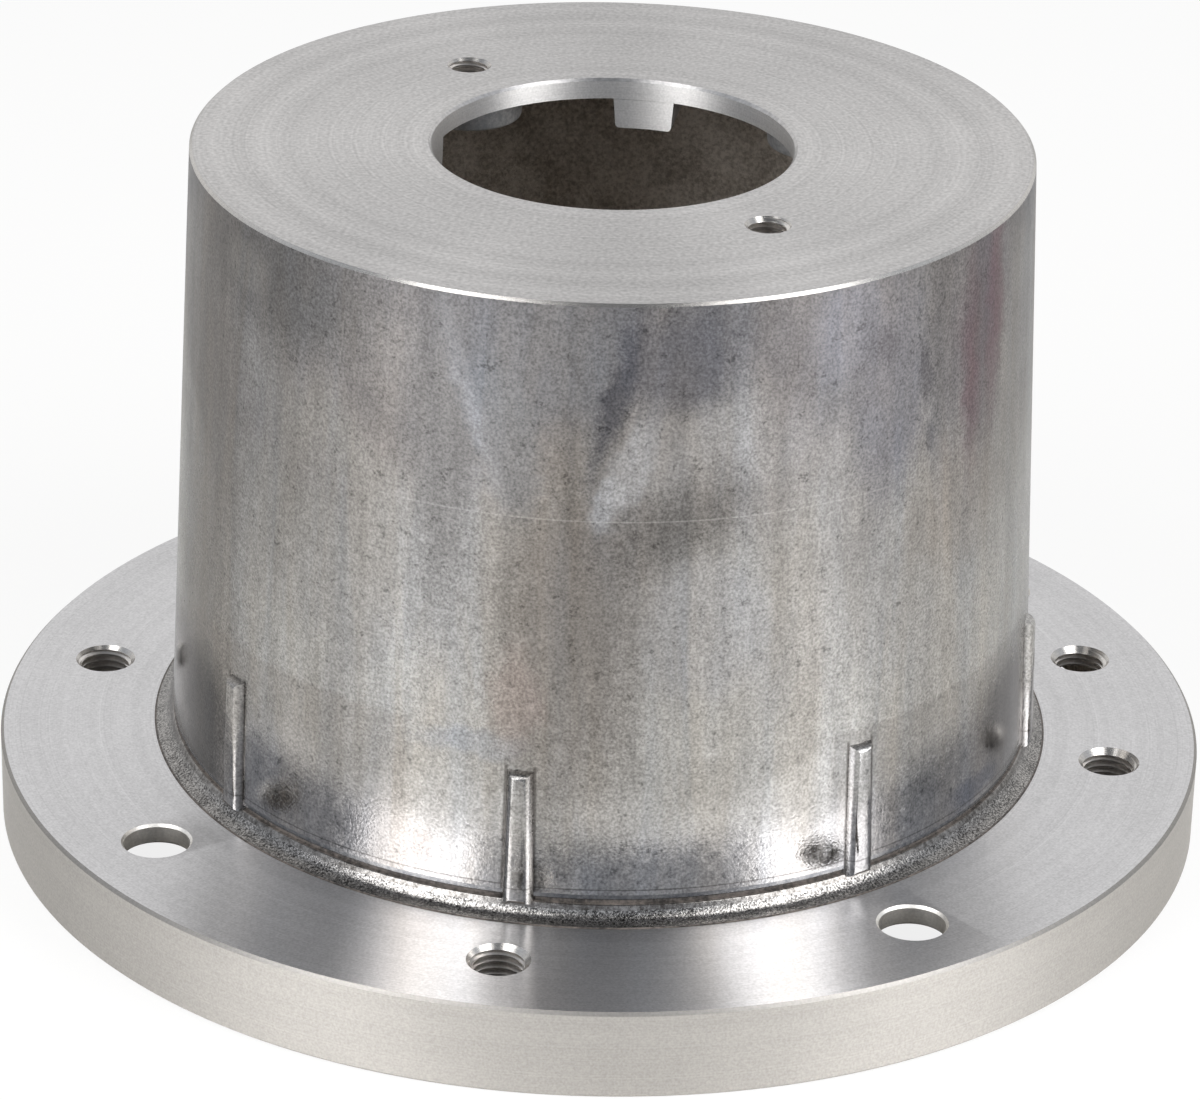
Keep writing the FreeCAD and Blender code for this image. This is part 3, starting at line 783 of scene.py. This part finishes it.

# %% [markdown]
# ## Collar and inside
# The collar between bell and brim is left as cast: a smooth lip, a groove painted dark as shade,
# a narrow smooth band, then a hollow speckled band that runs out onto the brim, with the same
# painted shade in the crease at its outer edge. That band is coarse sand skin, dark in its pits
# and polished on its tips by handling. The inside is darker, a dull brown-grey from the core
# sand. Two tones of noise and a bump are enough for all of them.

# %% Cast finishes of the collar and the inside
def cast(name, dark, light, metallic, roughness, size, depth, clouded=0.35):
    """A plain as-cast finish in two tones, with pits of a size and depth in millimetres."""
    material, tree, shader, place = new_finish(name, metallic, roughness)
    pits = add(tree, "TexNoise", {"Vector": place, "Scale": grain(size), "Detail": 5, "Roughness": 0.7})
    spread = add(tree, "TexNoise", {"Vector": place, "Scale": grain(size * 12), "Detail": 3})
    both = add(tree, "Mix", {0: clouded, 2: pits.outputs["Fac"], 3: spread.outputs["Fac"]})
    tone = add(tree, "ValToRGB", {0: both.outputs[0]})
    tone.color_ramp.elements[0].position = 0.4
    tone.color_ramp.elements[0].color = colour(dark)
    tone.color_ramp.elements[1].position = 0.6
    tone.color_ramp.elements[1].color = colour(light)
    tree.links.new(tone.outputs["Color"], shader.inputs["Base Color"])
    bump = add(tree, "Bump", {"Strength": 0.6, "Distance": depth * MM, "Height": pits.outputs["Fac"]})
    tree.links.new(bump.outputs[0], shader.inputs["Normal"])
    return material


# Thin bright line over the groove.
strip = cast("as_cast_lip", "#6F7073", "#9B9A99", 1.0, 0.26, 1.6, 0.1)
# Painted shade in the groove and in the crease at the brim: dark brown and dull.
painted_groove_shade = cast("painted_shade_in_the_groove", "#2B2826", "#6A635E", 0.2, 0.55, 1.2, 0.1)
# Coarse sand skin: black pits between bright worn tips.
rough_band = cast("rough_cast_collar", "#0F0E0D", "#AAA7A4", 0.95, 0.2, 0.55, 0.1, 0.15)
# The same skin without pits: a calm dark grey.
smooth_band = cast("smooth_cast_collar", "#4C4946", "#908D8A", 1.0, 0.24, 1.2, 0.08, 0.3)
# Blasted clean: a pale bluish grey.
boss_skin = cast("cored_bosses", "#A3A6AB", "#CFD0D1", 0.8, 0.45, 1.6, 0.2)
# Core sand baked onto the metal: a dull brown-grey.
inside = cast("cored_inside", "#A0968B", "#E4DBD1", 0.2, 0.6, 1.3, 0.25)
print("six cast finishes")

# %% [markdown]
# ## Which face has which finish
# Every face of the one piece gets its finish by its place: its distance from the axis, its
# height, and how far it is from the middle of a hole.

# %% Give each face its finish
FINISHES = [skin, pump_face, brim_face, rim_face, brim_edge, bore_face, thread_face]
FINISHES += [hole_face, chamfer]
FINISHES += [strip, painted_groove_shade, smooth_band, rough_band, boss_skin, inside]
HOLES = [(HOLE_RING, 45 * number) for number in range(8)] + [(HOLE_RING, SPARE_ANGLE)]
HOLES += [(PUMP_RING, PUMP_ANGLE), (PUMP_RING, PUMP_ANGLE + 180)]
hole_middles = []
for ring, angle in HOLES:
    angle = math.radians(angle)
    hole_middles.append(Vector((ring * math.cos(angle), ring * math.sin(angle))))
TAP_REACH = {HOLE_RING: 9.1, PUMP_RING: 6.5}
PLAIN_REACH = 10.3


def finish_at(point, normal):
    """The finish at a point in millimetres of a face that looks along a normal."""
    radius = math.hypot(point.x, point.y)
    outward = (point.x * normal.x + point.y * normal.y) / max(radius, 1)
    for middle, (ring, _) in zip(hole_middles, HOLES):
        near = (point.xy - middle).length
        if near < TAP_REACH[ring] and abs(normal.z) < 0.97:
            return chamfer if 0.6 < abs(normal.z) < 0.8 else thread_face
        if near < PLAIN_REACH and ring == HOLE_RING and abs(normal.z) < 0.97 and point.z > 19:
            return hole_face
    if point.z > HEIGHT - 0.9 and normal.z > 0.3:
        return chamfer if outward > 0.3 else pump_face
    if radius < BORE + 0.9 and point.z > 188:
        return bore_face
    if point.z > FOOT - 0.4 and radius > wall_radius(point.z) - 0.4:
        return skin
    if radius > BRIM_RADIUS - 1.1 and (outward > 0.3 or point.z > 25):
        if outward < 0.3:
            return brim_face
        return brim_edge if normal.z > 0.3 else rim_face
    if abs(point.z - BRIM_FACE) < 0.05 and radius > 130:
        return brim_face
    if radius > lip - 0.6 and point.z > 31.4:
        return strip if radius < lip + 0.3 else skin
    # Painted shade goes in the groove and in the crease where the hollow band meets the brim.
    if radius > 123 and point.z > 30.5:
        return painted_groove_shade
    if radius > 123 and point.z > BRIM_FACE + 0.01:
        if radius < lip + 1.0:
            return smooth_band
        return rough_band if radius < lip + 5 else painted_groove_shade
    if point.z < 0.02 or (point.z < 6.1 and 120 < radius < 126.5):
        return brim_face
    if point.z > 188 and radius < 90:
        return boss_skin
    return inside


for material in FINISHES:
    housing.data.materials.append(material)
counts = dict.fromkeys([material.name for material in FINISHES], 0)
for polygon in housing.data.polygons:
    chosen = finish_at(polygon.center / MM, polygon.normal)
    polygon.material_index = FINISHES.index(chosen)
    counts[chosen.name] += 1
print(counts)

# %% [markdown]
# ## Floor, light and camera
# The housing stands on white card between two tall soft lamps, left and right of the camera,
# in front of white. Most of what the camera sees of the card is plain white light, and a small
# share is real shading, so a faint shadow stays. The card is slightly glossy: the lamps glare
# on it, and the wall mirrors that glare as upright bright bands. Metal shows mostly what stands
# round it, so for mirror rays the room is dim where the photographer stands and dark overhead.

# %% The floor
CARD_WHITE = 0.85
bpy.ops.object.select_all(action="DESELECT")
bpy.ops.mesh.primitive_plane_add(size=12)
floor = bpy.context.object
floor.name = "floor"
card = bpy.data.materials.new("white_card")
card.use_nodes = True
tree = card.node_tree
shader = tree.nodes["Principled BSDF"]
shader.inputs["Base Color"].default_value = colour("#F2F2F0")
shader.inputs["Roughness"].default_value = 0.5
rays = add(tree, "LightPath", {})
white = add(tree, "Emission", {"Color": (1, 1, 1, 1), "Strength": 1.0})
seen = add(tree, "Math", {0: rays.outputs["Is Camera Ray"], 1: CARD_WHITE}, operation="MULTIPLY")
mixed = add(tree, "MixShader", {0: seen.outputs[0], 1: shader.outputs[0], 2: white.outputs[0]})
tree.links.new(mixed.outputs[0], tree.nodes["Material Output"].inputs["Surface"])
floor.data.materials.append(card)
print("floor:", CARD_WHITE, "of what the camera sees is plain white")

# %% The studio
TO_CAMERA = (0.169, -0.985, 0)
world = bpy.data.worlds.new("studio")
world.use_nodes = True
bpy.context.scene.world = world
tree = world.node_tree
rays = add(tree, "LightPath", {})
way = add(tree, "TexCoord", {}).outputs["Generated"]
front = add(tree, "VectorMath", {0: way, 1: TO_CAMERA}, operation="DOT_PRODUCT")
ahead = add(tree, "MapRange", {0: front.outputs["Value"], 1: -0.7, 2: -0.1})
dim = add(tree, "Math", {0: ahead.outputs[0], 1: rays.outputs["Is Glossy Ray"]}, operation="MULTIPLY")
above = add(tree, "SeparateXYZ", {0: way}).outputs["Z"]
overhead = add(tree, "MapRange", {0: above, 1: 0.6, 2: 0.88})
far_side = add(tree, "Mix", {
    0: overhead.outputs[0], 6: colour("#D3D9E2"), 7: colour("#6E7176")}, data_type="RGBA")
room = add(tree, "Mix", {0: dim.outputs[0], 6: (1, 1, 1, 1), 7: far_side.outputs[2]}, data_type="RGBA")
clear = add(tree, "Math", {
    0: rays.outputs["Is Camera Ray"], 1: rays.outputs["Is Glossy Ray"]}, operation="MAXIMUM")
level = add(tree, "MapRange", {0: clear.outputs[0], 3: 0.3, 4: 1.0})
tree.links.new(room.outputs[2], tree.nodes["Background"].inputs["Color"])
tree.links.new(level.outputs[0], tree.nodes["Background"].inputs["Strength"])
print("world has", len(tree.nodes), "nodes")

# %% The lamps
CAMERA_AZIMUTH = 9.75
LAMP_AIM = 0.1


def softbox(name, azimuth, elevation, distance, wide, high, power):
    """An area lamp that looks at the housing. Azimuth is from the camera's side, in degrees."""
    lamp_data = bpy.data.lights.new(name, "AREA")
    lamp_data.shape = "RECTANGLE"
    lamp_data.size, lamp_data.size_y = wide, high
    lamp_data.energy = power
    lamp = bpy.data.objects.new(name, lamp_data)
    bpy.context.scene.collection.objects.link(lamp)
    side = math.radians(azimuth + CAMERA_AZIMUTH)
    up = math.radians(elevation)
    way = Vector((math.sin(side) * math.cos(up), -math.cos(side) * math.cos(up), math.sin(up)))
    lamp.location = Vector((0, 0, LAMP_AIM)) + way * distance
    lamp.rotation_euler = way.to_track_quat("Z", "Y").to_euler()
    print(name, "at", [round(v, 2) for v in lamp.location])


softbox("left_softbox", -45, 30, 1.8, 0.9, 2.1, 35)
softbox("right_softbox", 57, 30, 1.8, 1.0, 2.1, 38)

# %% The camera
# Its place and turn were worked out from the outlines of brim, pump face and bore in the photo.
CAMERA_PLACE = (0.22419, -1.30470, 0.70724)
CAMERA_TURN = (64.5628, -1.2229, 10.3736)
SENSOR = 36
FOCAL_LENGTH_PIXELS = 5058.5
FRAME_WIDTH_PIXELS = 1200
camera_data = bpy.data.cameras.new("camera")
camera = bpy.data.objects.new("camera", camera_data)
bpy.context.scene.collection.objects.link(camera)
camera_data.sensor_width = SENSOR
camera_data.lens = FOCAL_LENGTH_PIXELS / FRAME_WIDTH_PIXELS * SENSOR
camera.location = CAMERA_PLACE
camera.rotation_euler = [math.radians(angle) for angle in CAMERA_TURN]
bpy.context.scene.camera = camera
bpy.context.scene.view_settings.view_transform = "Standard"
print("lens:", round(camera_data.lens, 1), "mm")

# %% [markdown]
# ## The finished size
# The finished piece must lie in the CAD model's box.

# %% Bring the scene up to date
bpy.context.view_layer.update()
